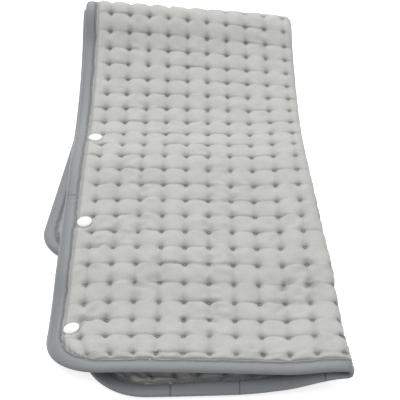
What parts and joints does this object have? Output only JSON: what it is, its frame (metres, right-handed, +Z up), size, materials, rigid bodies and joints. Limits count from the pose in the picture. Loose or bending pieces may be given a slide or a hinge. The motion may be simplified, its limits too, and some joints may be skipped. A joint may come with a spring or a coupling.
{
  "type": "quilted heating pad",
  "caption": "Quilted plush heating pad with a satin-bound edge and snap fasteners, folded lengthwise and crosswise, with an inlet for its supply cord.",
  "frame": {"origin": "on the table, under the middle of the folded pad's bounding box", "axes": "+Y from the open front edges to the crosswise fold, +X from the snap edge to the lengthwise fold, +Z up"},
  "size_m": [0.2408, 0.4756, 0.0934],
  "materials": {
    "plush": "short-pile plush",
    "satin_tape": "satin",
    "felt": "felt",
    "wire_jacket": "satin",
    "snap_white": "gloss",
    "inlet_grey": "matte",
    "insulator_black": "matte",
    "contact_brass": "polished",
    "screw_steel": "polished"
  },
  "bodies": {
    "lower_half": {"face_cover_lower": "plush", "face_cover_lower_bend": "plush", "back_cover_lower": "plush", "back_cover_lower_bend": "plush", "wire_carrier_lower": "felt", "wire_carrier_lower_bend": "felt", "heating_wire_lower": "wire_jacket", "heating_wire_lower_bend": "wire_jacket", "return_lead_lower": "wire_jacket", "return_lead_lower_bend": "wire_jacket", "return_lead_tail": "wire_jacket", "thermal_fuse": "insulator_black", "edge_binding_lower": "satin_tape", "edge_binding_inlet_side": "satin_tape", "edge_binding_lower_bend_outer": "satin_tape", "edge_binding_lower_bend_inner": "satin_tape", "socket_cap_1": "snap_white", "socket_cap_2": "snap_white", "socket_cap_3": "snap_white", "snap_socket_1": "snap_white", "snap_socket_2": "snap_white", "snap_socket_3": "snap_white", "inlet_upper_shell": "inlet_grey", "inlet_lower_shell": "inlet_grey", "inlet_contact_block": "insulator_black", "inlet_contact_1": "contact_brass", "inlet_contact_2": "contact_brass", "inlet_contact_3": "contact_brass", "inlet_screw_1": "screw_steel", "inlet_screw_2": "screw_steel"},
    "spine": {"face_cover_spine": "plush", "face_cover_upper_bend": "plush", "back_cover_spine": "plush", "back_cover_upper_bend": "plush", "wire_carrier_spine": "felt", "wire_carrier_upper_bend": "felt", "heating_wire_spine": "wire_jacket", "heating_wire_upper_bend": "wire_jacket", "return_lead_spine": "wire_jacket", "return_lead_upper_bend": "wire_jacket", "edge_binding_spine_outer": "satin_tape", "edge_binding_spine_inner": "satin_tape", "edge_binding_upper_bend_outer": "satin_tape", "edge_binding_upper_bend_inner": "satin_tape"},
    "upper_half": {"face_cover_upper": "plush", "back_cover_upper": "plush", "wire_carrier_upper": "felt", "heating_wire_upper": "wire_jacket", "edge_binding_upper": "satin_tape", "stud_cap_1": "snap_white", "stud_cap_2": "snap_white", "stud_cap_3": "snap_white", "snap_stud_1": "snap_white", "snap_stud_2": "snap_white", "snap_stud_3": "snap_white"}
  },
  "joints": [
    {"name": "lower_fold", "type": "hinge", "parent": "lower_half", "child": "spine", "pos_m": [0, 0.22604, 0.01176], "axis": [-1, 0, 0], "range_deg": [0, 90], "deforming": ["face_cover_lower_bend", "back_cover_lower_bend", "wire_carrier_lower_bend", "heating_wire_lower_bend", "return_lead_lower_bend", "edge_binding_lower_bend_outer", "edge_binding_lower_bend_inner"]},
    {"name": "upper_fold", "type": "hinge", "parent": "spine", "child": "upper_half", "pos_m": [0, 0.22768, 0.07706], "axis": [-1, 0, 0], "range_deg": [0, 98], "deforming": ["face_cover_upper_bend", "back_cover_upper_bend", "wire_carrier_upper_bend", "heating_wire_upper_bend", "return_lead_upper_bend", "edge_binding_upper_bend_outer", "edge_binding_upper_bend_inner"]}
  ]
}
